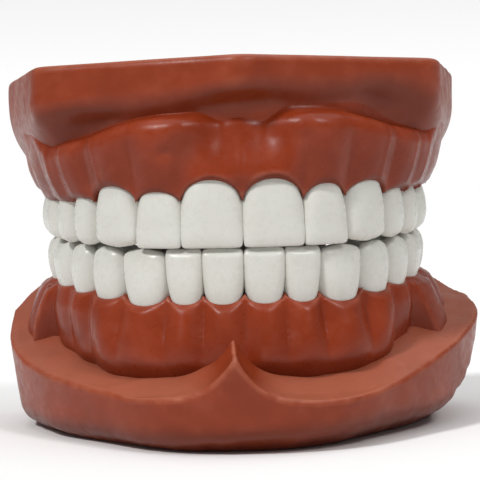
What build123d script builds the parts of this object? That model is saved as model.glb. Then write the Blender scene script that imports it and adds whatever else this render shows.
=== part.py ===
"""Life-size hinged typodont: two plinths, two gums, 28 screwed-in teeth and a back hinge.

Millimetres, +Z up. The front teeth face -Y and the patient's right side is at -X.
The origin is under the middle of the closed model.
"""

import os
from dataclasses import dataclass
from math import atan2, cos, hypot, pi, radians, sin, tan

from build123d import *

# Overall size
total_height = 55.0
nose_depth = 9.2  # lower plinth's nose, ahead of the upper incisors
jaw_depth = 48.0  # labial face of the upper incisors to the flat back faces
lower_half_width = 36.9
upper_half_width = 36.7

# Plinths
wall_draft = 8.0
foot_inset = 1.1  # how far the lower wall's draft takes it back at the nose
foot_draft = 2.0  # and at its widest, where the ledge is higher
foot_radius = 2.0
rim_radius = 1.5
frenum_half_width = 5.0  # ridge from the lower rim up to the gum, at the midline
frenum_rim_z = 10.9
frenum_top_z = 15.2

# Planes that rise or fall towards the back: height beside the upper incisors, and slope
bite_z, bite_slope = 27.9, 0.055
ledge_z, ledge_slope = 8.3, 0.21  # top of the lower plinth
cove_z, cove_slope = 47.8, -0.058  # underside of the upper plinth

# Gums
upper_gum_rise = 6.0  # bite plane to the tips of the papillae
lower_gum_rise = 6.2
papilla_width = 0.9
socket_gap = 0.06
vault_roof_z = 40.5

# Teeth and their screws
bite_gap = 0.15
crown_gap = 0.05
stem_length = 5.5
screw_radius = 0.8
screw_grip = 4.0  # screw inside the tooth's stem
head_radius = 1.6
head_height = 1.4
seat_radius = 1.8
seat_depth = 2.0
screw_gap = 0.1

# Hinge
barrel_radius = 3.0
pin_radius = 1.5
pin_gap = 0.05
knuckle_count = 5
knuckle_gap = 0.3
leaf_width = 30.0
leaf_thickness = 1.5
leaf_reach = 24.5  # pin to the leaf's far edge
rivet_radius = 2.4
rivet_thickness = 0.9
hinge_screw_x = 10.0
hinge_screw_rows = (15.5, 22.5)  # pin to each row of screws
hinge_screw_radius = 1.1
hinge_screw_length = 6.0
countersink_radius = 2.3

total_depth = nose_depth + jaw_depth + 2 * barrel_radius
incisor_y = nose_depth - total_depth / 2
back_y = incisor_y + jaw_depth
pin_y = back_y + barrel_radius
pin_z = total_height / 2


@dataclass
class Arch:
    """Labial outline of a row of teeth: a superellipse in plan, open at the back."""

    half_width: float
    length: float
    power: float
    front: float  # how far its front lies behind the upper incisors

    def point(self, angle, outset=0.0):
        """Plan point at an angle from the midline, on an outline grown by outset."""
        x = (self.half_width + outset) * abs(sin(angle)) ** (2 / self.power)
        reach = (self.length + outset) * abs(cos(angle)) ** (2 / self.power)
        return (x if angle > 0 else -x, incisor_y + self.front + self.length - reach)

    def station(self, distance):
        """Plan point and heading at a distance along the outline from the midline."""
        steps = 3000
        walked = 0.0
        here = self.point(0)
        for step in range(1, steps):
            last, here = here, self.point(step * pi / 2 / steps)
            walked += hypot(here[0] - last[0], here[1] - last[1])
            if walked >= distance:
                break
        return here, atan2(here[1] - last[1], here[0] - last[0])


@dataclass
class Tooth:
    """Size across, front to back and from gum to bite, form of crown, and radius of stem."""

    name: str
    width: float
    depth: float
    height: float
    form: str
    stem_radius: float

    @property
    def stem_y(self):
        """Distance of the stem's axis behind the labial face."""
        return 0.5 * self.depth + 0.8


arches = {
    "upper": Arch(half_width=31.4, length=45.0, power=2.38, front=0.0),
    "lower": Arch(half_width=30.8, length=44.5, power=2.3, front=0.5),
}

teeth = {
    "upper": [
        Tooth("central_incisor", 9.0, 7.0, 9.6, "incisor", 1.9),
        Tooth("lateral_incisor", 7.0, 6.2, 8.3, "incisor", 1.7),
        Tooth("canine", 8.6, 8.0, 8.8, "canine", 2.0),
        Tooth("first_premolar", 6.5, 9.0, 7.6, "molar", 2.0),
        Tooth("second_premolar", 6.9, 9.0, 7.2, "molar", 2.0),
        Tooth("first_molar", 10.2, 11.0, 7.0, "molar", 2.2),
        Tooth("second_molar", 9.4, 11.0, 6.8, "molar", 2.2),
    ],
    "lower": [
        Tooth("central_incisor", 6.0, 5.8, 7.9, "incisor", 1.6),
        Tooth("lateral_incisor", 5.5, 6.0, 7.9, "incisor", 1.6),
        Tooth("canine", 7.7, 7.4, 8.2, "canine", 1.8),
        Tooth("first_premolar", 7.7, 7.6, 7.6, "molar", 1.9),
        Tooth("second_premolar", 7.2, 8.2, 7.2, "molar", 1.9),
        Tooth("first_molar", 10.7, 10.3, 6.9, "molar", 2.2),
        Tooth("second_molar", 10.1, 10.2, 6.7, "molar", 2.2),
    ],
}

# Sections of a crown from its root end to its bite, as shares of the tooth's size:
# (height above the bite, width, set-back of the labial face in mm, depth)
root_share = 1.15
crown_sections = {
    "incisor": [
        (root_share, 0.70, 1.0, 0.80),
        (0.90, 0.80, 0.6, 0.86),
        (0.40, 0.98, 0.0, 0.58),
        (0.0, 0.95, 0.5, 0.27),
    ],
    "canine": [
        (root_share, 0.70, 1.0, 0.80),
        (0.90, 0.80, 0.5, 0.88),
        (0.35, 0.98, 0.0, 0.72),
        (0.0, 0.45, 0.9, 0.26),
    ],
    "molar": [
        (root_share, 0.78, 1.2, 0.76),
        (0.86, 0.84, 0.8, 0.86),
        (0.45, 0.98, 0.0, 1.00),
        (0.0, 0.86, 1.2, 0.74),
    ],
}


def sloping_plane(front_z, slope):
    """Plane at front_z beside the upper incisors, facing up and sloping towards the back."""
    return Plane(origin=(0, incisor_y, front_z), x_dir=(1, 0, 0), z_dir=(0, -slope, 1))


def behind(x, depth):
    """Plan point given by its depth behind the upper incisors."""
    return (x, incisor_y + depth)


ledge_plane = sloping_plane(ledge_z, ledge_slope)
cove_plane = sloping_plane(cove_z, cove_slope)
root_side = {"upper": 1, "lower": -1}  # the way a jaw's roots point along Z
far_face_z = {"upper": total_height, "lower": 0.0}


# Teeth
@dataclass
class Place:
    """Where one tooth stands: a plan frame with X along the row and Y towards the tongue."""

    name: str
    tooth: Tooth
    plan: Plane
    half_turn: float  # between the tooth and its neighbours, about Z
    side: int  # the way the root points along Z

    @property
    def bite(self):
        return bite_z + bite_slope * (self.plan.origin.Y - incisor_y)

    @property
    def stem_end(self):
        return self.bite + self.side * (root_share * self.tooth.height + stem_length)

    @property
    def axis(self):
        """Plan point on the stem's axis."""
        point = self.plan.from_local_coords((0, self.tooth.stem_y, 0))
        return (point.X, point.Y)


def tooth_places(jaw):
    """Both sides of a jaw, from the midline back."""
    places = []
    for side_name, side in (("right", -1), ("left", 1)):
        walked = 0.0
        for tooth in teeth[jaw]:
            (x, y), heading = arches[jaw].station(walked + tooth.width / 2)
            _, start_heading = arches[jaw].station(walked + 0.01)
            walked += tooth.width
            _, end_heading = arches[jaw].station(walked)
            plan = Plane(
                origin=(side * x, y, 0),
                x_dir=(cos(heading), side * sin(heading), 0),
                z_dir=(0, 0, 1),
            )
            half_turn = max(heading - start_heading, end_heading - heading)
            name = f"{jaw}_{side_name}_{tooth.name}"
            places.append(Place(name, tooth, plan, half_turn, root_side[jaw]))
    return places


def crown_and_stem(place, grow=0.0):
    """Outer shape of one tooth, past its bite; grow makes it the socket's shape."""
    tooth = place.tooth
    with BuildPart() as body:
        for height, width, set_back, depth in crown_sections[tooth.form]:
            level = place.bite + place.side * (height * tooth.height if height else -1.0)
            near = set_back - grow
            far = set_back + depth * tooth.depth + grow
            near_half = width * tooth.width / 2 - crown_gap + grow
            far_half = near_half - (far - near) * tan(place.half_turn)
            with BuildSketch(place.plan.offset(level)):
                with BuildLine():
                    Polyline(
                        (-near_half, near),
                        (near_half, near),
                        (far_half, far),
                        (-far_half, far),
                        close=True,
                    )
                make_face()
                fillet(vertices(), radius=0.3 * min(2 * far_half, far - near))
        loft(ruled=True)
        with BuildSketch(place.plan.offset(place.stem_end + place.side * grow)):
            with Locations((0, tooth.stem_y)):
                Circle(tooth.stem_radius + grow)
        extrude(amount=-place.side * (stem_length + 1.0))
    return body.part


def drill(place, z):
    """Frame on a tooth's axis at a height, facing the jaw's far face."""
    return Plane(origin=(*place.axis, z), x_dir=(1, 0, 0), z_dir=(0, 0, place.side))


places = {jaw: tooth_places(jaw) for jaw in teeth}
tooth_parts = []

for jaw in teeth:
    bite_trim = sloping_plane(bite_z + root_side[jaw] * bite_gap, bite_slope)
    kept = Keep.TOP if jaw == "upper" else Keep.BOTTOM
    for place in places[jaw]:
        with BuildPart() as tooth_part:
            add(crown_and_stem(place))
            split(bisect_by=bite_trim, keep=kept)
            with Locations(drill(place, place.stem_end)):
                Hole(radius=screw_radius + screw_gap, depth=screw_grip + 0.5)
        tooth_part.part.label = place.name
        tooth_parts.append(tooth_part.part)


# Gums
def arch_block(arch, levels, back, corner_radius):
    """Block inside an arch's outline, run straight back; levels are (height, outset)."""
    turns = [step * pi / 12 for step in range(-6, 7)]
    with BuildPart() as block:
        for z, outset in levels:
            points = [arch.point(turn, outset) for turn in turns]
            first, last = points[0], points[-1]
            with BuildSketch(Plane.XY.offset(z)):
                with BuildLine():
                    Spline(points, tangents=[(0, -1), (0, 1)])
                    Polyline(last, (last[0], back), (first[0], back), first)
                make_face()
                fillet(vertices().group_by(Axis.Y)[-1], radius=corner_radius)
        loft(ruled=True)
    return block.part


def scallop(place, rise):
    """Cutter that takes the gum's margin up over one tooth and leaves a papilla beside it."""
    tooth = place.tooth
    middle = Plane(
        origin=(place.plan.origin.X, place.plan.origin.Y, place.bite + place.side * rise),
        x_dir=place.plan.x_dir,
        z_dir=place.plan.y_dir,
    )
    with BuildPart() as cutter:
        with BuildSketch(middle.offset(-4.0)):
            Ellipse((tooth.width - papilla_width) / 2, tooth.height - rise)
        extrude(amount=tooth.depth + 10.0)
    return cutter.part


def hinge_screw_frames(jaw, rows, y):
    """Frames on the screws of one hinge leaf, facing backwards."""
    return [
        Plane((x, y, pin_z + root_side[jaw] * reach), x_dir=(1, 0, 0), z_dir=(0, 1, 0))
        for reach in rows
        for x in (-hinge_screw_x, hinge_screw_x)
    ]


lower_ridge = arch_block(
    arches["lower"], [(4.0, -0.4), (15.0, 1.5), (26.0, 0.3)], back_y, corner_radius=2.5
)
tongue_space = arch_block(
    arches["lower"], [(4.0, -13.5), (15.0, -11.5), (26.0, -9.5)], back_y + 1, corner_radius=0.5
)
lower_cutters = [scallop(place, lower_gum_rise) for place in places["lower"]]
lower_cutters += [crown_and_stem(place, socket_gap) for place in places["lower"]]

with BuildPart() as lower_gingiva:
    add(lower_ridge)
    add(tongue_space, mode=Mode.SUBTRACT)
    split(bisect_by=sloping_plane(bite_z - lower_gum_rise, bite_slope), keep=Keep.BOTTOM)
    split(bisect_by=ledge_plane, keep=Keep.TOP)
    add(lower_cutters, mode=Mode.SUBTRACT)
    with Locations(*[drill(place, 0.0) for place in places["lower"]]):
        Hole(radius=screw_radius + screw_gap, depth=18.0)
lower_gingiva.part.label = "lower_gingiva"

palate_block = arch_block(
    arches["upper"],
    [(30.0, 0.2), (37.0, 0.8), (42.5, 2.0), (45.5, 0.6), (49.0, -2.0)],
    back_y,
    corner_radius=2.5,
)
palate_vault = arch_block(
    arches["upper"],
    [(29.0, -10.0), (36.0, -12.5), (vault_roof_z, -17.5)],
    back_y + 1,
    corner_radius=0.5,
)
upper_cutters = [scallop(place, upper_gum_rise) for place in places["upper"]]
upper_cutters += [crown_and_stem(place, socket_gap) for place in places["upper"]]

with BuildPart() as upper_gingiva:
    add(palate_block)
    add(palate_vault, mode=Mode.SUBTRACT)
    split(bisect_by=sloping_plane(bite_z + upper_gum_rise, bite_slope), keep=Keep.TOP)
    split(bisect_by=cove_plane, keep=Keep.BOTTOM)
    add(upper_cutters, mode=Mode.SUBTRACT)
    with Locations(*[drill(place, total_height) for place in places["upper"]]):
        Hole(radius=screw_radius + screw_gap, depth=14.0)
    with Locations(*hinge_screw_frames("upper", hinge_screw_rows[:1], back_y)):
        Hole(radius=hinge_screw_radius + screw_gap, depth=hinge_screw_length)
upper_gingiva.part.label = "upper_gingiva"


# Plinths
with BuildPart() as frenum:
    for depth, half, peak in (
        (0.6 - nose_depth, frenum_half_width, frenum_rim_z),
        (3.0, 1.5, frenum_top_z),
    ):
        with BuildSketch(Plane(origin=(*behind(0, depth), 0), x_dir=(1, 0, 0), z_dir=(0, -1, 0))):
            with BuildLine():
                Polyline((-half, 6.0), (half, 6.0), (0, peak), close=True)
            make_face()
    loft(ruled=True)
    add(lower_ridge, mode=Mode.SUBTRACT)

with BuildPart() as lower_base:
    for z in (0.0, 22.0):
        grow = z * tan(radians(wall_draft))
        wide = lower_half_width - foot_draft + grow
        with BuildSketch(Plane.XY.offset(z)):
            with BuildLine():
                Spline(
                    behind(0, foot_inset - nose_depth - grow),
                    behind(11 + 0.5 * grow, -5.6 - 0.9 * grow),
                    behind(21 + 0.7 * grow, 4.0 - 0.7 * grow),
                    behind(31 + 0.8 * grow, 18.0 - 0.6 * grow),
                    behind(wide, 30.0),
                    tangents=[(1, 0), (0, 1)],
                )
                Polyline(
                    behind(wide, 30.0),
                    behind(wide - 0.4, 38.0),
                    behind(wide - 6.0, jaw_depth),
                    behind(0, jaw_depth),
                )
                mirror(about=Plane.YZ)
            make_face()
    loft(ruled=True)
    foot = faces().sort_by(Axis.Z)[0]
    fillet(foot.edges().sort_by(Axis.Y)[:-2], radius=foot_radius)
    split(bisect_by=ledge_plane, keep=Keep.BOTTOM)
    add(frenum.part)
    with Locations(*[drill(place, 0.0) for place in places["lower"]]):
        CounterBoreHole(screw_radius + screw_gap, seat_radius, seat_depth, depth=22.0)
    with Locations(*hinge_screw_frames("lower", hinge_screw_rows, back_y)):
        Hole(radius=hinge_screw_radius + screw_gap, depth=hinge_screw_length)
lower_base.part.label = "lower_base"

with BuildPart() as upper_base:
    with BuildSketch(Plane.XY.offset(total_height)):
        with BuildLine():
            Polyline(
                behind(0, -2.5),
                behind(30.0, 11.6),
                behind(upper_half_width, 40.0),
                behind(upper_half_width - 6.0, jaw_depth),
                behind(0, jaw_depth),
            )
            mirror(about=Plane.YZ)
        make_face()
        fillet(vertices().group_by(Axis.Y)[1], radius=4.0)
        fillet(vertices().group_by(Axis.Y)[-2], radius=3.0)
        fillet(vertices().group_by(Axis.Y)[0], radius=8.0)
    extrude(amount=-13.0)
    split(bisect_by=cove_plane, keep=Keep.TOP)
    fillet(faces().sort_by(Axis.Z)[-1].edges(), radius=rim_radius)
    with Locations(*[drill(place, total_height) for place in places["upper"]]):
        CounterBoreHole(screw_radius + screw_gap, seat_radius, seat_depth, depth=13.0)
    with Locations(*hinge_screw_frames("upper", hinge_screw_rows[1:], back_y)):
        Hole(radius=hinge_screw_radius + screw_gap, depth=hinge_screw_length)
upper_base.part.label = "upper_base"


# Screws that hold the teeth
def tooth_screws(jaw):
    """One screw up each tooth's stem, its head sunk in the plinth's far face."""
    with BuildPart() as screws:
        for place in places[jaw]:
            seat = drill(place, far_face_z[jaw] - place.side * seat_depth)
            length = abs(seat.origin.Z - place.stem_end) + screw_grip
            with Locations(seat):
                Cylinder(head_radius, head_height, align=(Align.CENTER, Align.CENTER, Align.MIN))
                Cylinder(screw_radius, length, align=(Align.CENTER, Align.CENTER, Align.MAX))
            with Locations(seat.offset(head_height)):
                Box(2 * head_radius, 0.5, 1.0, mode=Mode.SUBTRACT)
    return screws.part


# Hinge
knuckle_pitch = leaf_width / knuckle_count
knuckle_length = knuckle_pitch - knuckle_gap


def hinge_leaf(jaw, knuckles):
    """Leaf flat on a jaw's back face, with its own knuckles round the pin."""
    clear = barrel_radius + knuckle_gap
    centres = [(k + 0.5) * knuckle_pitch - leaf_width / 2 for k in knuckles]
    plate = Plane(
        origin=(0, back_y, pin_z), x_dir=(-root_side[jaw], 0, 0), z_dir=(0, 1, 0)
    )
    with BuildPart() as leaf:
        with BuildSketch(plate):
            with Locations((0, clear)):
                Rectangle(leaf_width, leaf_reach - clear, align=(Align.CENTER, Align.MIN))
            fillet(vertices().group_by(Axis.Y)[-1], radius=3.0)
            with Locations(*[(x, 0) for x in centres]):
                Rectangle(knuckle_length, clear, align=(Align.CENTER, Align.MIN))
        extrude(amount=leaf_thickness)
        for x in centres:
            with BuildSketch(Plane.YZ.offset(x - knuckle_length / 2)):
                with Locations((pin_y, pin_z)):
                    Circle(barrel_radius)
            extrude(amount=knuckle_length)
        with BuildSketch(Plane.YZ.offset(-leaf_width / 2)):
            with Locations((pin_y, pin_z)):
                Circle(pin_radius + pin_gap)
        extrude(amount=leaf_width, mode=Mode.SUBTRACT)
        with Locations(*hinge_screw_frames(jaw, hinge_screw_rows, back_y + leaf_thickness)):
            CounterSinkHole(
                hinge_screw_radius + screw_gap, countersink_radius, counter_sink_angle=90
            )
    return leaf.part


def hinge_screws(jaw):
    """Countersunk screws through a leaf, heads flush with it."""
    head_top = countersink_radius - screw_gap
    head_bottom = hinge_screw_radius
    with BuildPart() as screws:
        with Locations(*hinge_screw_frames(jaw, hinge_screw_rows, back_y + leaf_thickness)):
            Cone(
                head_bottom,
                head_top,
                head_top - head_bottom,
                align=(Align.CENTER, Align.CENTER, Align.MAX),
            )
            Cylinder(
                hinge_screw_radius,
                hinge_screw_length,
                align=(Align.CENTER, Align.CENTER, Align.MAX),
            )
            Box(2.8, 0.6, 1.0, mode=Mode.SUBTRACT)
    return screws.part


pin_middle = Plane(origin=(0, pin_y, pin_z), x_dir=(0, 1, 0), z_dir=(1, 0, 0))
with BuildPart() as hinge_pin:
    with Locations(pin_middle):
        Cylinder(pin_radius, leaf_width)
    head_x = (leaf_width + rivet_thickness) / 2
    with Locations(pin_middle.offset(head_x), pin_middle.offset(-head_x)):
        Cylinder(rivet_radius, rivet_thickness)
    fillet(faces().filter_by(Axis.X).edges().filter_by(GeomType.CIRCLE), radius=0.35)
hinge_pin.part.label = "hinge_pin"

screws_and_leaves = {
    "lower_tooth_screws": tooth_screws("lower"),
    "upper_tooth_screws": tooth_screws("upper"),
    "lower_hinge_leaf": hinge_leaf("lower", (0, 2, 4)),
    "upper_hinge_leaf": hinge_leaf("upper", (1, 3)),
    "lower_hinge_screws": hinge_screws("lower"),
    "upper_hinge_screws": hinge_screws("upper"),
}
for name, part in screws_and_leaves.items():
    part.label = name

# One STEP file for each piece
parts = [lower_base.part, upper_base.part, lower_gingiva.part, upper_gingiva.part, hinge_pin.part]
parts += tooth_parts
parts += screws_and_leaves.values()

os.makedirs("parts", exist_ok=True)
for part in parts:
    export_step(part, f"parts/{part.label}.step")
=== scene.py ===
"""Looks of the hinged typodont: painted resin plinths and gums, 28 teeth and a steel hinge.

Shapes are worked out in millimetres, as fields that are negative inside a piece, and are
turned into meshes in metres. The front teeth face -Y and the patient's right side is at -X.
"""

import copy
import math

import bpy
import numpy as np
from mathutils import Matrix, Vector


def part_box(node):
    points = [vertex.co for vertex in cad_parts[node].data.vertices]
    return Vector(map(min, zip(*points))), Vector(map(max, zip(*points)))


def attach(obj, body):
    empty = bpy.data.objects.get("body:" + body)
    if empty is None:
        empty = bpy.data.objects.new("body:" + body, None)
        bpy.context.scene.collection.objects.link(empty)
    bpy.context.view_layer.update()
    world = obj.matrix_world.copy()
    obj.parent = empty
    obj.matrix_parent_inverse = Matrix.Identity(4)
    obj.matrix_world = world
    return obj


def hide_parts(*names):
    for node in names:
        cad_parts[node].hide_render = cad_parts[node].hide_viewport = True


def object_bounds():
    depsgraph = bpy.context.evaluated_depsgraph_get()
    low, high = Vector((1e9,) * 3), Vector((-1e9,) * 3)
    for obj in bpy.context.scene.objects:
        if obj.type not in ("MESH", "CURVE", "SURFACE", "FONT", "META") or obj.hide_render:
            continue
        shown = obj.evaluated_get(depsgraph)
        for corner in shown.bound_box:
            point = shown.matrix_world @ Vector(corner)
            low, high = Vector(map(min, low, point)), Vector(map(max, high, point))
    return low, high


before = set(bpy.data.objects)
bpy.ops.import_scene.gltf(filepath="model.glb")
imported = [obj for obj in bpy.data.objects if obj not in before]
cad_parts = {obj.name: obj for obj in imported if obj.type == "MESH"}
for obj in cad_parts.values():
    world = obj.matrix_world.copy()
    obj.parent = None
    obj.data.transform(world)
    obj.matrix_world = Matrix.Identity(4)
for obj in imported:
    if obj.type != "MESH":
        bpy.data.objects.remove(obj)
cad_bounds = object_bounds()

MM = 0.001


def cad_box(node):
    """Lowest and highest corner of a CAD node, in millimetres."""
    low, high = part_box(node)
    return np.array(low) / MM, np.array(high) / MM


# Places taken from the frame
TOP_Z = np.array(cad_bounds[1])[2] / MM
BACK_Y = cad_box("lower_base")[1][1]
INCISOR_Y = BACK_Y - 48.0

# Planes that rise or fall towards the back: height beside the upper incisors, and slope
BITE_Z, BITE_SLOPE = 27.9, 0.055
BITE_GAP = 0.02
CHAMFER = {"upper": 0.12, "lower": 1.0}  # height of the front teeth's bevelled edge

# Lower plinth: how far its wall and its foot are moved towards the patient's left, its draft in
# degrees, half its outline at the floor, and its ledge's heights at depths behind the incisors
PLINTH_SHIFT = 0.8
FOOT_SHIFT = -0.5
PLINTH_DRAFT = 8.0
LOWER_FRONT = [(-11, -5.6), (0, -8.1), (11, -5.6), (21, 4), (31, 18), (35.2, 30), (34.9, 38)]
LOWER_BACK = [(29.3, 48.4), (0, 48.4)]
LEDGE_DEPTHS = (-10, -5, 0, 5, 10, 15, 20, 25, 30, 35, 40, 48)
LEDGE_RIGHT = (6.9, 7.3, 7.6, 8.1, 8.8, 9.6, 10.7, 12.2, 14.0, 16.2, 18.3, 20.9)
LEDGE_LEFT = (6.8, 7.2, 7.9, 9.2, 11.0, 12.6, 14.0, 15.3, 16.5, 17.6, 18.6, 20.4)
FRENUM_X, FRENUM_HEIGHT = -1.8, 7.0

# Upper plinth: outline, roundness of its corners, and its lower edge's height, tilt and drop
UPPER_HALF = [(0, -2.5), (30.0, 11.6), (36.7, 40.0), (27.8, 52.4), (0, 52.4)]
UPPER_CORNER = 5.0
COVE_Z, COVE_TILT, COVE_DROP = 49.3, 0.07, 3.5

# Sizes of the cells that the surfaces are sampled in
GUM_CELL = 0.33
PLINTH_CELL = 0.36
TOOTH_CELL = 0.2


# Curves and fields
def curve(x, knots, values):
    """Smooth curve through knots, read at x."""
    knots = np.array(knots, float)
    values = np.array(values, float)
    slopes = np.gradient(values, knots)
    dense = np.linspace(knots[0], knots[-1], 400)
    left = np.clip(np.searchsorted(knots, dense, side="right") - 1, 0, len(knots) - 2)
    step = knots[left + 1] - knots[left]
    t = (dense - knots[left]) / step
    rise = values[left + 1] - values[left]
    bend = t * (1 - t) * ((1 - t) * (slopes[left] * step - rise) - t * (slopes[left + 1] * step - rise))
    return np.interp(x, dense, values[left] + t * rise + bend).astype(np.float32)


def ramp(x, low, high):
    """0 below low, 1 above high, and smooth between."""
    t = np.clip((x - low) / (high - low), 0, 1)
    return t * t * (3 - 2 * t)


def bump(x, middle, width):
    """Bell of height 1."""
    return np.exp(-(((x - middle) / width) ** 2))


def ledge_height(x, y):
    """Rim of the lower plinth's ledge, cast unevenly: lower in front on the patient's right."""
    right = curve(y - INCISOR_Y, LEDGE_DEPTHS, LEDGE_RIGHT)
    left = curve(y - INCISOR_Y, LEDGE_DEPTHS, LEDGE_LEFT)
    share = ramp(x, -8, 8)
    return right * (1 - share) + left * share


def cove_height(x, y):
    """Lower edge of the upper plinth, lower at its sides and on the patient's right."""
    side = ramp(y - INCISOR_Y, 6.0, 20.0)
    return COVE_Z + COVE_TILT * np.clip(x, -20, 20) * (1 - side) - COVE_DROP * side


def neck_inset(far):
    """How far the groove under the upper plinth lies inside the gum's outline."""
    return 2.2 - 2.8 * ramp(far, 22, 34)


def both(a, b, soft):
    """Field of what is inside a and b, with the edge between them rounded off."""
    h = np.clip(0.5 + 0.5 * (a - b) / soft, 0, 1)
    return b + (a - b) * h + soft * h * (1 - h)


def either(a, b, soft):
    """Field of what is inside a or b, with a fillet between them."""
    return -both(-a, -b, soft)


def waves(x, y, z, size, seed):
    """Gentle unevenness of about one, with features of a given size."""
    random = np.random.default_rng(seed)
    total = 0.0
    for _ in range(5):
        way = random.normal(size=3)
        way *= random.uniform(0.7, 1.4) * 2 * math.pi / (size * np.linalg.norm(way))
        total = total + np.sin(way[0] * x + way[1] * y + way[2] * z + random.uniform(0, 6.3))
    return total / 2.2


class Grid:
    """Sample points in a box, in millimetres, held as three arrays that broadcast."""

    def __init__(self, low, high, cell):
        self.low = np.array(low, float) - 2 * cell
        self.cell = cell
        self.count = [int((h - l) / cell) + 5 for l, h in zip(low, high)]
        axes = [self.low[i] + cell * np.arange(self.count[i]) for i in range(3)]
        self.x = axes[0].astype(np.float32)[:, None, None]
        self.y = axes[1].astype(np.float32)[None, :, None]
        self.z = axes[2].astype(np.float32)[None, None, :]

    def part(self, xs, ys, zs):
        """The same points, only in a range along each axis."""
        result = copy.copy(self)
        result.x = self.x[xs]
        result.y = self.y[:, ys]
        result.z = self.z[:, :, zs]
        return result


def surface(field, grid):
    """Quads on the field's zero level, one point in each cell that the level crosses."""
    inside = field < 0
    nx, ny, nz = field.shape
    corners = [
        inside[i : nx - 1 + i, j : ny - 1 + j, k : nz - 1 + k]
        for i in (0, 1)
        for j in (0, 1)
        for k in (0, 1)
    ]
    filled = sum(corner.astype(np.int8) for corner in corners)
    cells = np.argwhere((filled > 0) & (filled < 8))
    index = np.full(filled.shape, -1, np.int32)
    index[tuple(cells.T)] = np.arange(len(cells))
    total = np.zeros((len(cells), 3))
    hits = np.zeros(len(cells))
    for axis in range(3):
        unit = np.eye(3, dtype=int)[axis]
        across = [np.eye(3, dtype=int)[other] for other in range(3) if other != axis]
        for i in (0, 1):
            for j in (0, 1):
                start = cells + i * across[0] + j * across[1]
                near = field[tuple(start.T)]
                far = field[tuple((start + unit).T)]
                crossed = (near < 0) != (far < 0)
                share = np.where(crossed, near / np.where(crossed, near - far, 1), 0)
                total += (start + share[:, None] * unit) * crossed[:, None]
                hits += crossed
    points = grid.low + grid.cell * total / hits[:, None]
    quads = []
    for axis in range(3):
        one, two = [np.eye(3, dtype=int)[(axis + turn) % 3] for turn in (1, 2)]
        near = np.take(inside, range(inside.shape[axis] - 1), axis)
        far = np.take(inside, range(1, inside.shape[axis]), axis)
        edges = np.argwhere(near != far)
        ring = [index[tuple((edges - a * one - b * two).T)] for a, b in ((1, 1), (0, 1), (0, 0), (1, 0))]
        ring = np.stack(ring, axis=1)
        outward = near[tuple(edges.T)]
        quads.append(np.where(outward[:, None], ring, ring[:, ::-1]))
    return points, np.concatenate(quads)


def raised(points, quads, rounds):
    """How far each point stands out of its surroundings, averaged over rounds of neighbours."""
    edges = np.concatenate([quads[:, [i, (i + 1) % 4]] for i in range(4)])
    degree = np.bincount(edges[:, 0], minlength=len(points)).astype(float)
    smooth = points.copy()
    for _ in range(rounds):
        total = np.zeros_like(points)
        for axis in range(3):
            total[:, axis] = np.bincount(edges[:, 0], smooth[edges[:, 1], axis], len(points))
        smooth = total / degree[:, None]
    corner = points[quads]
    normal = np.cross(corner[:, 2] - corner[:, 0], corner[:, 3] - corner[:, 1])
    normals = np.zeros_like(points)
    for i in range(4):
        for axis in range(3):
            normals[:, axis] += np.bincount(quads[:, i], normal[:, axis], len(points))
    normals /= np.linalg.norm(normals, axis=1, keepdims=True) + 1e-9
    return ((points - smooth) * normals).sum(axis=1)


def piece(name, points, quads, material, body, slot, node):
    """Smooth mesh object that stands for a CAD node, with how far each point is raised."""
    mesh = bpy.data.meshes.new(name)
    mesh.from_pydata((points * MM).tolist(), [], quads.tolist())
    mesh.update()
    mesh.shade_smooth()
    relief = mesh.attributes.new("relief", "FLOAT", "POINT")
    relief.data.foreach_set("value", raised(points, quads, 8).astype(np.float32))
    mesh.materials.append(material)
    obj = bpy.data.objects.new(name, mesh)
    bpy.context.scene.collection.objects.link(obj)
    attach(obj, body)
    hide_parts(node)
    return obj


# Rows of teeth
class Arch:
    """Labial outline of a row of teeth: a superellipse in plan, then straight back."""

    def __init__(self, half_width, length, power, front):
        angles = np.linspace(0, math.pi / 2, 700)
        x = half_width * np.sin(angles) ** (2 / power)
        y = INCISOR_Y + front + length - length * np.abs(np.cos(angles)) ** (2 / power)
        self.x = np.append(x, x[-1])
        self.y = np.append(y, y[-1] + 30.0)
        steps = np.hypot(np.diff(self.x), np.diff(self.y))
        self.walked = np.append(0, np.cumsum(steps))

    def place(self, distance):
        """Plan point and heading at a distance from the midline."""
        x = np.interp(distance, self.walked, self.x)
        y = np.interp(distance, self.walked, self.y)
        k = np.clip(np.searchsorted(self.walked, distance), 1, len(self.x) - 1)
        return x, y, math.atan2(self.y[k] - self.y[k - 1], self.x[k] - self.x[k - 1])

    def coordinates(self, grid):
        """Signed distance along the outline and outward distance from it, over a grid's plan."""
        x, y = np.broadcast_arrays(grid.x[:, :, 0], grid.y[:, :, 0])
        side = np.where(x < 0, -1.0, 1.0)
        px = np.abs(x).ravel().astype(float)
        py = y.ravel().astype(float)
        best = np.full(px.shape, np.inf)
        along = np.zeros(px.shape)
        outward = np.zeros(px.shape)
        picks = np.append(np.arange(0, 700, 5), 700)
        for a, b in zip(picks[:-1], picks[1:]):
            dx, dy = self.x[b] - self.x[a], self.y[b] - self.y[a]
            length = math.hypot(dx, dy)
            t = np.clip(((px - self.x[a]) * dx + (py - self.y[a]) * dy) / length**2, 0, 1)
            ox = px - self.x[a] - t * dx
            oy = py - self.y[a] - t * dy
            gap = np.hypot(ox, oy)
            closer = gap < best
            best = np.where(closer, gap, best)
            along = np.where(closer, self.walked[a] + t * length, along)
            outward = np.where(closer, np.sign(ox * dy - oy * dx) * gap, outward)
        along = along.reshape(x.shape) * side
        outward = outward.reshape(x.shape)
        return along.astype(np.float32)[:, :, None], outward.astype(np.float32)[:, :, None]


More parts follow.
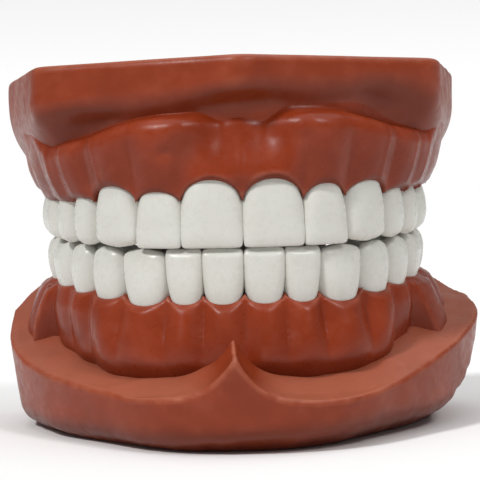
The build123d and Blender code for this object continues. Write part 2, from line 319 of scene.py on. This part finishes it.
ARCHES = {
    "upper": Arch(half_width=31.4, length=45.0, power=2.38, front=0.0),
    "lower": Arch(half_width=30.8, length=44.5, power=2.3, front=0.5),
}
ROOT_WAY = {"upper": 1, "lower": -1}
BODY = {"upper": "upper_jaw", "lower": "lower_jaw"}

# Each tooth's width along the row, depth towards the tongue, height from gum to bite, and form
TEETH = {
    "upper": {
        "central_incisor": (9.0, 7.0, 9.6, "incisor"),
        "lateral_incisor": (7.0, 6.2, 8.3, "incisor"),
        "canine": (8.6, 8.0, 8.8, "canine"),
        "first_premolar": (6.5, 9.0, 7.6, "premolar"),
        "second_premolar": (6.9, 9.0, 7.2, "premolar"),
        "first_molar": (10.2, 11.0, 7.0, "molar"),
        "second_molar": (9.4, 11.0, 6.8, "molar"),
    },
    "lower": {
        "central_incisor": (6.0, 5.8, 7.9, "incisor"),
        "lateral_incisor": (5.5, 6.0, 7.9, "incisor"),
        "canine": (7.7, 7.4, 8.2, "canine"),
        "first_premolar": (7.7, 7.6, 7.6, "premolar"),
        "second_premolar": (7.2, 8.2, 7.2, "premolar"),
        "first_molar": (10.7, 10.3, 6.9, "molar"),
        "second_molar": (10.1, 10.2, 6.7, "molar"),
    },
}

# How much higher or lower some teeth's gum edges were painted, positive towards the root
MARGIN_SHIFT = {
    "upper_right_lateral_incisor": -0.3,
    "upper_right_first_premolar": -0.6,
    "upper_right_second_premolar": -0.9,
    "upper_right_first_molar": -0.9,
    "upper_left_lateral_incisor": 0.4,
    "upper_left_first_premolar": -0.3,
}
TOOTH_REACH = 4.5  # distances to the teeth are worked out up to this
SEAT_RADIUS = 1.8  # counterbores for the screws that hold the teeth
SEAT_DEPTH = 2.0
SEAT_SET_BACK = 0.8  # a tooth's stem and screw stand this far behind its middle
PAPILLA_RISE = {"upper": 6.0, "lower": 6.2}  # tips of the gum between teeth, from the bite
CREST_STATIONS = {"upper": (21.0, 27.8, 32.5), "lower": (23.5, 29.5)}  # sharp ridges up the gum
STEM_LENGTH = 5.5
STEM_RADIUS = 1.7

# Each gum's outer wall at heights from the bite plane: how far it stands out from the row's
# outline, and how much further it swells over a root
WALL = {
    "upper": ((0, 4, 6, 9, 12, 15, 17, 19, 24), (-3, -1.5, -0.8, -0.4, 0.3, 1.1, 1.5, 1.5, 1.5)),
    "lower": (
        (0, 4, 6, 8, 11, 14, 16, 18, 20, 26),
        (-3, -1.5, -0.9, -0.6, 0.0, 0.9, 1.1, 0.3, -1.0, -2.0),
    ),
}
SWELL = {
    "upper": ((0, 6, 9, 12, 15, 17, 24), (0, 0.3, 0.9, 0.9, 0.6, 0.3, 0.2)),
    "lower": ((0, 6, 8, 11, 14, 17, 20, 26), (0, 0.5, 1.1, 1.3, 0.9, 0.4, 0.2, 0.2)),
}
TONGUE_HEIGHTS, TONGUE_INSET = (0, 4, 15, 26, 30), (13.8, 13.5, 11.5, 9.5, 9.0)
BLOCK_START = {"right": 40.5, "left": 32.5}  # the full molar part of the lower gum, along the row
PALATE_Z, VAULT_HEIGHT = 29.0, 12.0
RUGAE_HEIGHT, RAPHE_HEIGHT = 0.35, 0.5
SHELF_Z = 46.9  # top of the upper gum beside the midline

# Shape of each form from its bite to its root's tip: shares of height, half width and depth
LEVELS = (0.0, 0.12, 0.35, 0.6, 0.85, 1.0, 1.25, 1.9)
FORMS = {
    "incisor": {
        "width": (0.94, 0.98, 0.995, 0.985, 0.90, 0.80, 0.68, 0.30),
        "front": (0.05, 0.01, 0.0, -0.01, 0.02, 0.07, 0.14, 0.36),
        "back": (0.25, 0.31, 0.44, 0.68, 0.86, 0.88, 0.84, 0.60),
        "power": 3.6,
    },
    "canine": {
        "width": (0.74, 0.90, 0.985, 0.98, 0.90, 0.82, 0.70, 0.30),
        "front": (0.12, 0.04, 0.0, -0.02, 0.0, 0.04, 0.10, 0.34),
        "back": (0.32, 0.42, 0.62, 0.82, 0.92, 0.92, 0.88, 0.62),
        "power": 2.8,
    },
    "premolar": {
        "width": (0.74, 0.88, 0.98, 0.985, 0.92, 0.86, 0.76, 0.40),
        "front": (0.12, 0.05, 0.0, 0.0, 0.03, 0.07, 0.12, 0.34),
        "back": (0.84, 0.95, 1.0, 1.0, 0.96, 0.92, 0.88, 0.64),
        "power": 2.6,
    },
    "molar": {
        "width": (0.84, 0.94, 0.99, 0.985, 0.93, 0.89, 0.84, 0.60),
        "front": (0.11, 0.05, 0.0, 0.0, 0.03, 0.06, 0.09, 0.22),
        "back": (0.86, 0.95, 1.0, 1.0, 0.97, 0.94, 0.90, 0.76),
        "power": 2.9,
    },
}


class Tooth:
    """One tooth's place and shape; u runs away from the midline, w inwards, v up its root."""

    def __init__(self, jaw, side_name, name, middle):
        self.jaw = jaw
        self.name = f"{jaw}_{side_name}_{name}"
        self.width, self.depth, self.height, self.form = TEETH[jaw][name]
        side = 1 if side_name == "left" else -1
        x, y, heading = ARCHES[jaw].place(middle)
        self.station = side * middle
        self.origin = np.array((side * x, y))
        self.along = np.array((side * math.cos(heading), math.sin(heading)))
        self.inward = np.array((-side * math.sin(heading), math.cos(heading)))
        self.margin = self.height + MARGIN_SHIFT.get(self.name, 0.0)

    def local(self, grid):
        """Local coordinates of a grid's points."""
        dx = grid.x - self.origin[0]
        dy = grid.y - self.origin[1]
        bite = BITE_Z + BITE_SLOPE * (grid.y - INCISOR_Y)
        v = ROOT_WAY[self.jaw] * (grid.z - bite)
        u = dx * self.along[0] + dy * self.along[1]
        w = dx * self.inward[0] + dy * self.inward[1]
        return u, w, v

    def sides(self, u, w, v):
        """Distance outside the crown's and root's sides, in cells of the grid."""
        form = FORMS[self.form]
        share = v / self.height
        half = curve(share, LEVELS, form["width"]) * self.width / 2
        front = curve(share, LEVELS, form["front"]) * self.depth
        back = curve(share, LEVELS, form["back"]) * self.depth
        across = np.abs(u / half) ** form["power"]
        ring = across + np.abs((2 * w - front - back) / (back - front)) ** 2.5
        field = ring ** (1 / 2.6) - 1
        steep = np.sqrt(sum(g * g for g in np.gradient(field)))
        return field / np.maximum(steep, 0.02 * TOOTH_CELL)

    def bite(self, u, w):
        """Height of the biting surface above the bite plane."""
        r = 2 * u / self.width
        q = 2 * w / self.depth - 1
        chamfer = CHAMFER[self.jaw] * np.clip(1 - w / 1.0, 0, 1)
        if self.form == "incisor":
            return BITE_GAP + 0.15 * np.abs(r) ** 6 + chamfer
        if self.form == "canine":
            return BITE_GAP + 0.8 * (np.sqrt(r * r + 0.03) - 0.17) + 0.6 * chamfer
        groove = 1.2 * np.exp(-((q / 0.3) ** 2)) + 2.0 * np.clip(np.abs(q) - 0.55, 0, 1) ** 2
        if self.form == "premolar":
            return BITE_GAP + groove + 0.9 * np.abs(r) ** 2
        valley = 0.45 * (0.5 + 0.5 * np.cos(2 * math.pi * r))
        return BITE_GAP + groove + valley + 0.5 * np.abs(r) ** 6

    def margin_height(self, grid):
        """Height of the gum's edge over the plan, an arch at this tooth that fades behind it."""
        u, w, _ = self.local(grid)
        u, w = u[:, :, :1], w[:, :, :1]
        low = PAPILLA_RISE[self.jaw]
        reach = np.clip(np.abs(u) / (self.width / 2 - 0.15), 0, 1)
        arch = (self.margin - low) * np.sqrt(1 - reach**2.1)
        fade = ramp(w, -7.0, -5.5) * (1 - ramp(w, self.depth - 1.0, self.depth + 3.5))
        return low + arch * fade


def row_of_teeth(jaw):
    """Both sides of a jaw's row."""
    row = []
    for side_name in ("right", "left"):
        walked = 0.0
        for name, (width, *_) in TEETH[jaw].items():
            row.append(Tooth(jaw, side_name, name, walked + width / 2))
            walked += width
    return row


ROWS = {jaw: row_of_teeth(jaw) for jaw in TEETH}


def tooth_mesh(tooth):
    """Crown, root and stem as one closed surface."""
    low, high = cad_box(tooth.name)
    grid = Grid(low - 0.8, high + 0.8, TOOTH_CELL)
    u, w, v = tooth.local(grid)
    crown = tooth.sides(u, w, v) * TOOTH_CELL
    soft = 0.35 if tooth.form == "incisor" else 0.7
    crown = both(crown, tooth.bite(u, w) - v, soft)
    crown = both(crown, v - 1.25 * tooth.height, 0.6)
    stem = np.hypot(u, w - 0.5 * tooth.depth - SEAT_SET_BACK) - STEM_RADIUS
    stem = both(stem, v - 1.15 * tooth.height - STEM_LENGTH, 0.3)
    stem = both(stem, tooth.height - v, 0.3)
    return surface(either(crown, stem, 0.4), grid)


# Gums
def margin_map(grid, jaw):
    """Height of the gum's edge above the bite plane over a grid's plan, an arch at each tooth."""
    height = np.full((len(grid.x), grid.y.shape[1], 1), PAPILLA_RISE[jaw], np.float32)
    for tooth in ROWS[jaw]:
        height = np.maximum(height, tooth.margin_height(grid))
    return height


def distance_to_teeth(grid, jaw):
    """Distance outside the sides of the nearest tooth, up to a limit."""
    gap = np.full((len(grid.x), grid.y.shape[1], grid.z.shape[2]), TOOTH_REACH, np.float32)
    for tooth in ROWS[jaw]:
        reach = tooth.depth / 2 + 5.0
        centre = tooth.origin + tooth.inward * tooth.depth / 2
        middle = BITE_Z + ROOT_WAY[jaw] * (tooth.height + 1.0)
        limits = ((centre[0], reach), (centre[1], reach), (middle, 8.0))
        spans = []
        for axis, (here, far) in zip((grid.x, grid.y, grid.z), limits):
            near = np.nonzero(np.abs(axis.ravel() - here) < far)[0]
            spans.append(slice(near[0], near[-1] + 1))
        part = grid.part(*spans)
        inside = tooth.sides(*tooth.local(part)) * grid.cell
        gap[tuple(spans)] = np.minimum(gap[tuple(spans)], inside)
    return gap


def root_shares(s, jaw):
    """How fully a root lies under each place along the row, from 0 to 1."""
    roots = np.zeros_like(s)
    for tooth in ROWS[jaw]:
        reach = np.clip(1 - ((s - tooth.station) / (0.52 * tooth.width)) ** 2, 0, 1) ** 1.3
        roots = np.maximum(roots, reach)
    return roots


def shaped_upper(outer, s, v, back_share):
    """Upper gum's wall with a hollow and frenum at the midline, two dents and full cheeks."""
    middle = 1 - ramp(np.abs(s - 0.3), 2.5, 10.0)
    outer = outer - 3.8 * middle * ramp(v, 9, 17) + 0.7 * bump(s, 0.0, 2.4) * ramp(v, 8, 13)
    outer = outer - 0.6 * bump(s, -6.8, 1.8) * bump(v, 12.0, 3.5)
    outer = outer - 0.35 * bump(s, -10.5, 1.1) * bump(v, 13.5, 1.0)
    return outer + 1.4 * back_share * ramp(v, 4, 11)


def shaped_lower(outer, s, v, far):
    """Lower gum's wall, drawn in beside the premolars and full beside the molars."""
    start = np.where(s < 0, BLOCK_START["right"], BLOCK_START["left"]) + 0.15 * np.clip(v - 6, 0, 12)
    block = ramp(far, start, start + 1.4)
    outer = outer - 2.0 * ramp(far, 19, 29) * (1 - block) * ramp(v, 9, 16)
    return outer + block * (2.1 * ramp(v, 2, 12) + 0.6 * ramp(v, 11, 16) * ramp(s, -5, 5))


def with_crests(outer, jaw, far, v):
    """Wall with the sharp ridges that run up it."""
    for station in CREST_STATIONS[jaw]:
        crest = np.clip(1 - np.abs(far - station - 0.12 * v) / 0.9, 0, 1)
        outer = outer + 0.16 * crest * ramp(v, 5.5, 8) * (1 - ramp(v, 14, 17))
    return outer


def above_palate(x, y, z, depth):
    """Field of the gum over the palate, with cross ridges and a seam down its middle."""
    roof = PALATE_Z + VAULT_HEIGHT * (1 - np.exp(-np.maximum(depth - 10.0, 0) / 3.6))
    rugae = RUGAE_HEIGHT * np.sin((y - INCISOR_Y) * 2.4 + 0.05 * x * x) * ramp(depth, 11.5, 13.5)
    rugae = rugae * (1 - ramp(y - INCISOR_Y, 22, 27)) * ramp(np.abs(x), 0.8, 2.5)
    raphe = -RAPHE_HEIGHT * bump(x, 0, 0.7) * ramp(depth, 11, 13)
    palate = (roof + rugae + raphe - z) * 0.7
    return np.where(depth > 9.0, palate, -5.0)


def outside_tongue(x, y, z, n):
    """Field of the gum outside the tongue space."""
    inner = -(n + curve(z, TONGUE_HEIGHTS, TONGUE_INSET))
    return inner + 0.25 * waves(x, y, z, 8.0, 5)


def gum_mesh(jaw):
    """Gum of one jaw, with its margins, root swells, vault or tongue space."""
    low, high = cad_box(f"{jaw}_gingiva")
    grid = Grid(low - 2.5, high + (2.5, 0.0, 2.5), GUM_CELL)
    s, n = ARCHES[jaw].coordinates(grid)
    x, y, z = grid.x, grid.y, grid.z
    v = ROOT_WAY[jaw] * (z - BITE_Z - BITE_SLOPE * (y - INCISOR_Y))
    far = np.abs(s)
    wall = curve(v, *WALL[jaw])
    swell = curve(v, *SWELL[jaw])
    back_share = ramp(far, 20, 34)
    roots = root_shares(s, jaw)
    outer = wall + swell * roots * (1 - 0.4 * back_share) + 0.12 * waves(x, y, z, 9.0, 3)
    if jaw == "upper":
        outer = shaped_upper(outer, s, v, back_share)
    else:
        outer = shaped_lower(outer, s, v, far)
    outer = with_crests(outer, jaw, far, v)
    field = n - outer
    past = v - margin_map(grid, jaw)
    gap = distance_to_teeth(grid, jaw)
    edge = np.maximum(past, 0)
    if jaw == "upper":
        inner = above_palate(x, y, z, -n)
        shelf = SHELF_Z + 0.02 * x - 2.6 * ramp(far, 12, 30) + 4.0 * ramp(far, 33, 39)
        top = either(z - shelf, n + neck_inset(far) - 0.1, 1.2)
        field = both(field, top, 2.8)
        field = both(field, z - 49.0, 0.3)
    else:
        inner = outside_tongue(x, y, z, n)
        field = both(field, ledge_height(x, y) - 1.0 - z, 0.2)
    field = both(field, inner, 1.0)
    field = both(field, gap - 0.25 - 1.1 * edge - 0.6 * edge**2, 0.5)
    field = both(field, -past, 0.35)
    field = both(field, y - BACK_Y + 0.15, 0.8)
    return surface(field.astype(np.float32), grid)


# Plinths
def outline_distance(points, grid):
    """Signed distance to a closed plan outline, negative inside, over a grid's plan."""
    x, y = np.broadcast_arrays(grid.x[:, :, 0], grid.y[:, :, 0])
    best = np.full(x.shape, np.inf)
    inside = np.zeros(x.shape, bool)
    for a, b in zip(points, np.roll(points, -1, axis=0)):
        way = b - a
        t = np.clip(((x - a[0]) * way[0] + (y - a[1]) * way[1]) / (way @ way), 0, 1)
        best = np.minimum(best, np.hypot(x - a[0] - t * way[0], y - a[1] - t * way[1]))
        crosses = (a[1] > y) != (b[1] > y)
        hit = a[0] + (y - a[1]) * way[0] / (way[1] if way[1] else 1.0)
        inside ^= crosses & (x < hit)
    return np.where(inside, -best, best).astype(np.float32)[:, :, None]


def mirrored(half):
    """Closed outline from the points of its +X half, midline first and last."""
    half = np.array(half, float)
    half[:, 1] += INCISOR_Y
    return np.concatenate([half, half[-2:0:-1] * (-1, 1)])


def smooth_half(points, steps):
    """Points along a smooth curve through a half outline's first points."""
    points = np.array(points, float)
    walked = np.append(0, np.cumsum(np.hypot(*np.diff(points, axis=0).T)))
    along = np.linspace(0, walked[-1], steps)
    return np.stack([curve(along, walked, points[:, i]) for i in (0, 1)], axis=1)


def distance_to_seats(grid, jaw):
    """Distance in plan outside the counterbores for one jaw's tooth screws."""
    gap = np.full((len(grid.x), grid.y.shape[1], 1), 20.0, np.float32)
    for tooth in ROWS[jaw]:
        spot = tooth.origin + tooth.inward * (0.5 * tooth.depth + SEAT_SET_BACK)
        gap = np.minimum(gap, np.hypot(grid.x - spot[0], grid.y - spot[1])[:, :, :1] - SEAT_RADIUS)
    return gap


def lower_base_mesh():
    """Drafted wall with a rounded nose, a sloping ledge, a frenum ridge and a broken corner."""
    low, high = cad_box("lower_base")
    grid = Grid(low - 1.5, high + (2.0, 0.0, 5.0), PLINTH_CELL)
    x, y, z = grid.x, grid.y, grid.z
    depth = y - INCISOR_Y
    front = smooth_half(LOWER_FRONT, 90)
    front = front[front[:, 0] > 0.2]
    half = np.concatenate([[(0, -8.15)], front, LOWER_BACK])
    foot = outline_distance(mirrored(half) + (FOOT_SHIFT, 0), grid)
    chips = 0.5 * waves(x, y, z, 9.0, 11) + 0.3 * waves(x, y, z, 3.5, 12)
    wall = outline_distance(mirrored(half) + (PLINTH_SHIFT, 0), grid)
    wall = wall - z * math.tan(math.radians(PLINTH_DRAFT)) + 0.06 * chips
    off = x - FRENUM_X
    flank = np.where(off < 0, 4.0, 3.2)
    frenum = FRENUM_HEIGHT * np.exp(-np.sqrt(off**2 + 0.05) / flank) * (1 - ramp(depth, 3, 5))
    _, n = ARCHES["lower"].coordinates(grid)
    camber = (1.6 - 0.4 * ramp(x, -8, 8)) * np.clip(1 - n / 5.5, 0, 1)
    top = ledge_height(x, y) + frenum + camber + 0.06 * waves(x, y, z, 8.0, 13)
    field = both(wall, (z - top) * 0.95, 0.6)
    rounding = 0.53 * (foot + 4.3 - 1.8 * z) + 0.2 * chips
    field = both(field, rounding, 1.8)
    broken_corner = 0.79 * x - 0.61 * z - 23.3 + 0.7 * chips
    field = both(field, broken_corner, 0.8)
    field = both(field, -z, 0.1)
    field = both(field, y - BACK_Y, 0.6)
    field = both(field, -both(distance_to_seats(grid, "lower"), z - SEAT_DEPTH, 0.1), 0.1)
    return surface(field.astype(np.float32), grid)


def upper_base_mesh():
    """Plinth with a V front and rounded edges, over a concave neck."""
    low, high = cad_box("upper_base")
    grid = Grid(low - (1.5, 1.5, 7.0), high + (1.5, 0.0, 0.6), PLINTH_CELL)
    x, y, z = grid.x, grid.y, grid.z
    plan = outline_distance(rounded(mirrored(UPPER_HALF), UPPER_CORNER), grid)
    block = plan + 0.08 * waves(x, y, z, 9.0, 21)
    under = cove_height(x, y) - z
    slant = 1.2 * ramp(y - INCISOR_Y, 8.0, 22.0)
    block = both(block, (under + slant * np.maximum(plan, -3.5)) / (1 + 0.5 * slant), 2.6)
    s, n = ARCHES["upper"].coordinates(grid)
    neck = n + neck_inset(np.abs(s))
    neck = both(neck, under - 4.5, 0.6)
    neck = both(neck, -(n + 9.0), 0.6)
    neck = both(neck, plan + 0.3, 0.5)
    neck = both(neck, y - BACK_Y + 1.0, 0.3)
    field = either(block, neck, 3.0)
    field = both(field, z - TOP_Z + 0.02, 1.3)
    field = both(field, y - BACK_Y, 0.8)
    seats = both(distance_to_seats(grid, "upper"), TOP_Z - z - SEAT_DEPTH, 0.1)
    field = both(field, -both(seats, plan + 0.9, 0.1), 0.1)
    return surface(field.astype(np.float32), grid)


def rounded(points, radius):
    """Closed outline with its corners cut to arcs of about one radius."""
    result = []
    count = len(points)
    for k in range(count):
        before, here, after = points[k - 1], points[k], points[(k + 1) % count]
        one = (before - here) / np.linalg.norm(before - here)
        two = (after - here) / np.linalg.norm(after - here)
        half_angle = 0.5 * math.acos(np.clip(one @ two, -1, 1))
        cut = min(radius / math.tan(half_angle), 0.45 * np.linalg.norm(after - here))
        start, end = here + one * cut, here + two * cut
        for t in np.linspace(0, 1, 8):
            result.append((1 - t) ** 2 * start + 2 * t * (1 - t) * here + t * t * end)
    return np.array(result)


# Materials
def material(name, roughness, metallic=0.0, specular=0.5):
    """Empty node material and helpers for it."""
    result = bpy.data.materials.new(name)
    result.use_nodes = True
    shader = result.node_tree.nodes["Principled BSDF"]
    shader.inputs["Roughness"].default_value = roughness
    shader.inputs["Metallic"].default_value = metallic
    shader.inputs["Specular IOR Level"].default_value = specular
    return result, result.node_tree, shader


def noise(tree, size, detail=4.0, stretch=(1, 1, 1)):
    """Noise with features of about a size in millimetres, stretched along an axis."""
    place = tree.nodes.new("ShaderNodeTexCoord")
    mapping = tree.nodes.new("ShaderNodeMapping")
    mapping.inputs["Scale"].default_value = [1 / (size * MM * k) for k in stretch]
    texture = tree.nodes.new("ShaderNodeTexNoise")
    texture.inputs["Scale"].default_value = 1.0
    texture.inputs["Detail"].default_value = detail
    tree.links.new(place.outputs["Object"], mapping.inputs["Vector"])
    tree.links.new(mapping.outputs["Vector"], texture.inputs["Vector"])
    return texture.outputs["Fac"]


def spread(tree, value, low, high, to_low=0.0, to_high=1.0):
    """Value from low to high mapped onto another range."""
    node = tree.nodes.new("ShaderNodeMapRange")
    node.inputs["From Min"].default_value = low
    node.inputs["From Max"].default_value = high
    node.inputs["To Min"].default_value = to_low
    node.inputs["To Max"].default_value = to_high
    tree.links.new(value, node.inputs["Value"])
    return node.outputs["Result"]


def times(tree, a, b):
    """Product of two values."""
    node = tree.nodes.new("ShaderNodeMath")
    node.operation = "MULTIPLY"
    tree.links.new(a, node.inputs[0])
    tree.links.new(b, node.inputs[1])
    return node.outputs[0]


def mix(tree, share, a, b):
    """Colour between a and b; each is a colour or a socket."""
    node = tree.nodes.new("ShaderNodeMix")
    node.data_type = "RGBA"
    tree.links.new(share, node.inputs["Factor"])
    for socket, colour in (("A", a), ("B", b)):
        target = next(i for i in node.inputs if i.name == socket and i.type == "RGBA")
        if isinstance(colour, tuple):
            target.default_value = (*colour, 1.0)
        else:
            tree.links.new(colour, target)
    return next(o for o in node.outputs if o.type == "RGBA")


def bumped(tree, shader, height, depth_mm, strength=1.0):
    """Fine relief in the shading."""
    node = tree.nodes.new("ShaderNodeBump")
    node.inputs["Strength"].default_value = strength
    node.inputs["Distance"].default_value = depth_mm * MM
    tree.links.new(height, node.inputs["Height"])
    tree.links.new(node.outputs["Normal"], shader.inputs["Normal"])


def paint(name, dark, base, pale, worn, upward_light, gloss_range):
    """Brick-red paint, mottled and paler on worn edges, with painted light on upward faces and painted
    shade in hollows and beneath.
    """
    result, tree, shader = material(name, 0.42, specular=0.25)
    patches = spread(tree, noise(tree, 6.0, 3.0), 0.3, 0.7)
    colour = mix(tree, patches, dark, base)
    streaks = spread(tree, noise(tree, 3.0, 4.0), 0.5, 0.9, 0.0, 0.12)
    colour = mix(tree, streaks, colour, pale)
    relief = tree.nodes.new("ShaderNodeAttribute")
    relief.attribute_name = "relief"
    edges = spread(tree, relief.outputs["Fac"], 0.07, 0.22, 0.0, worn)
    rubbed = times(tree, edges, spread(tree, noise(tree, 2.2, 5.0), 0.35, 0.65, 0.25, 1.0))
    colour = mix(tree, rubbed, colour, pale)
    # painted shade: darker colour in the surface's hollows
    hollow_shade = spread(tree, relief.outputs["Fac"], -0.04, -0.2, 0.0, 0.4)
    colour = mix(tree, hollow_shade, colour, tuple(0.6 * c for c in dark))
    # painted light: faces turned upwards are painted paler, as if lit from above
    surface_way = tree.nodes.new("ShaderNodeNewGeometry")
    split = tree.nodes.new("ShaderNodeSeparateXYZ")
    tree.links.new(surface_way.outputs["Normal"], split.inputs["Vector"])
    colour = mix(tree, spread(tree, split.outputs["Z"], 0.7, 0.93, 0.0, upward_light), colour, pale)
    # painted shade: faces turned downwards are darkened
    underside_shade = spread(tree, split.outputs["Z"], -0.05, -0.6, 0.0, 0.6)
    colour = mix(tree, underside_shade, colour, tuple(0.45 * c for c in dark))
    tree.links.new(colour, shader.inputs["Base Color"])
    gloss = spread(tree, noise(tree, 1.2, 4.0), 0.35, 0.65, *gloss_range)
    tree.links.new(gloss, shader.inputs["Roughness"])
    bumped(tree, shader, noise(tree, 0.9, 5.0, (2.0, 2.0, 1.0)), 0.05, 0.45)
    return result


def tooth_paint(name):
    """Off-white satin paint, a little warmer in places, with brownish painted shade in its hollows."""
    result, tree, shader = material(name, 0.3, specular=0.4)
    patches = spread(tree, noise(tree, 4.0, 2.0), 0.35, 0.65)
    colour = mix(tree, patches, (0.625, 0.615, 0.56), (0.645, 0.64, 0.59))
    relief = tree.nodes.new("ShaderNodeAttribute")
    relief.attribute_name = "relief"
    # painted shade: brownish darkening in the tooth's hollows
    hollow_shade = spread(tree, relief.outputs["Fac"], -0.02, -0.12, 0.0, 0.35)
    colour = mix(tree, hollow_shade, colour, (0.42, 0.38, 0.28))
    tree.links.new(colour, shader.inputs["Base Color"])
    gloss = spread(tree, noise(tree, 1.0, 3.0), 0.35, 0.65, 0.24, 0.36)
    tree.links.new(gloss, shader.inputs["Roughness"])
    bumped(tree, shader, noise(tree, 0.8, 4.0, (1.0, 1.0, 2.0)), 0.03, 0.4)
    return result


def brushed_steel(name, colour, roughness):
    """Steel with fine scratches along X."""
    result, tree, shader = material(name, roughness, metallic=1.0)
    scratches = noise(tree, 0.12, 4.0, (60.0, 1.0, 1.0))
    tint = mix(tree, spread(tree, scratches, 0.35, 0.65), tuple(0.82 * c for c in colour), colour)
    tree.links.new(tint, shader.inputs["Base Color"])
    gloss = spread(tree, noise(tree, 4.0, 5.0), 0.35, 0.65, roughness - 0.06, roughness + 0.1)
    tree.links.new(gloss, shader.inputs["Roughness"])
    bumped(tree, shader, scratches, 0.01, 0.3)
    return result


def plain(name, colour, roughness):
    """Even material for the floor."""
    result, _, shader = material(name, roughness, specular=0.0)
    shader.inputs["Base Color"].default_value = (*colour, 1.0)
    return result


gum_paint = paint(
    "gum_paint",
    dark=(0.205, 0.026, 0.006),
    base=(0.255, 0.033, 0.008),
    pale=(0.48, 0.16, 0.10),
    worn=0.5,
    upward_light=0.0,
    gloss_range=(0.26, 0.4),
)
plinth_paint = paint(
    "plinth_paint",
    dark=(0.22, 0.031, 0.008),
    base=(0.265, 0.039, 0.011),
    pale=(0.50, 0.18, 0.11),
    worn=0.4,
    upward_light=0.45,
    gloss_range=(0.28, 0.42),
)
enamel = tooth_paint("tooth_paint")
steel = brushed_steel("hinge_steel", (0.55, 0.55, 0.54), 0.32)
screw_steel = brushed_steel("screw_steel", (0.50, 0.49, 0.46), 0.36)

# The jaws
piece("lower_plinth", *lower_base_mesh(), plinth_paint, "lower_jaw", "plinth", "lower_base")
piece("upper_plinth", *upper_base_mesh(), plinth_paint, "upper_jaw", "plinth", "upper_base")
for jaw in ("lower", "upper"):
    piece(f"{jaw}_gum", *gum_mesh(jaw), gum_paint, BODY[jaw], "gum", f"{jaw}_gingiva")
    for tooth in ROWS[jaw]:
        piece(f"{tooth.name}_crown", *tooth_mesh(tooth), enamel, BODY[jaw], "tooth", tooth.name)

# The hinge and the screws stay as they are in CAD
for name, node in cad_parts.items():
    if name.startswith("hinge") or name.endswith("leaf"):
        node.data.materials.clear()
        node.data.materials.append(steel)
    elif name.endswith("screws"):
        node.data.materials.clear()
        node.data.materials.append(screw_steel)


# Floor, light and camera
FLOOR_RADIUS, FLOOR_SIDES, FLOOR_Z = 3.0, 96, -0.00005  # in metres

# Each sun's direction, angle in degrees and strength
SUNS = {
    "key": ((-0.55, -0.5, 0.8), 8, 1.75),
    "fill": ((0.5, -0.6, 0.8), 14, 0.8),
    "overhead": ((0.1, 0.05, 1.0), 70, 1.2),
}

# The camera's place beside the incisors' edges in millimetres, and its angles in degrees
CAMERA_LENS = 118.0
CAMERA_X, CAMERA_DISTANCE, CAMERA_RISE = -7.7, 219.9, 6.8
CAMERA_TURN, CAMERA_DIP, CAMERA_ROLL = -1.88, 1.46, -1.45


def soft_sun(name, way, spread_degrees, strength):
    """Even light from one direction, softened over an angle."""
    data = bpy.data.lights.new(name, "SUN")
    data.angle = math.radians(spread_degrees)
    data.energy = strength
    light = bpy.data.objects.new(name, data)
    bpy.context.scene.collection.objects.link(light)
    light.rotation_euler = Vector(way).to_track_quat("Z", "Y").to_euler()


floor_mesh = bpy.data.meshes.new("floor")
turns = [2 * math.pi * k / FLOOR_SIDES for k in range(FLOOR_SIDES)]
floor_points = [(FLOOR_RADIUS * math.cos(a), FLOOR_RADIUS * math.sin(a), FLOOR_Z) for a in turns]
floor_mesh.from_pydata(floor_points, [], [tuple(range(FLOOR_SIDES))])
floor_mesh.materials.append(plain("floor", (0.88, 0.88, 0.88), 0.9))
floor = bpy.data.objects.new("floor", floor_mesh)
bpy.context.scene.collection.objects.link(floor)

# White surroundings, brightest at the horizon behind the model
world = bpy.data.worlds.new("studio")
world.use_nodes = True
sky = world.node_tree
direction = sky.nodes.new("ShaderNodeTexCoord")
split = sky.nodes.new("ShaderNodeSeparateXYZ")
sky.links.new(direction.outputs["Generated"], split.inputs["Vector"])
backdrop = spread(sky, split.outputs["Y"], 0.9, 0.97, 0.4, 1.0)
dimming = spread(sky, split.outputs["Z"], 0.08, 0.35, 1.0, 0.5)
sky.links.new(times(sky, backdrop, dimming), sky.nodes["Background"].inputs["Strength"])
sky.nodes["Background"].inputs["Color"].default_value = (1.0, 1.0, 1.0, 1.0)
bpy.context.scene.world = world
for sun_name, sun in SUNS.items():
    soft_sun(sun_name, *sun)

camera_data = bpy.data.cameras.new("camera")
camera_data.lens = CAMERA_LENS
camera_data.clip_start = 0.01
camera = bpy.data.objects.new("camera", camera_data)
bpy.context.scene.collection.objects.link(camera)
bpy.context.scene.camera = camera
camera_spot = Vector((CAMERA_X, INCISOR_Y - CAMERA_DISTANCE, BITE_Z + CAMERA_RISE)) * MM
turn = Matrix.Rotation(math.radians(CAMERA_TURN), 4, "Z")
tilt = Matrix.Rotation(math.radians(90 - CAMERA_DIP), 4, "X")
roll = Matrix.Rotation(math.radians(CAMERA_ROLL), 4, "Z")
camera.matrix_world = Matrix.Translation(camera_spot) @ (turn @ tilt) @ roll

bpy.context.scene.view_settings.view_transform = "Standard"
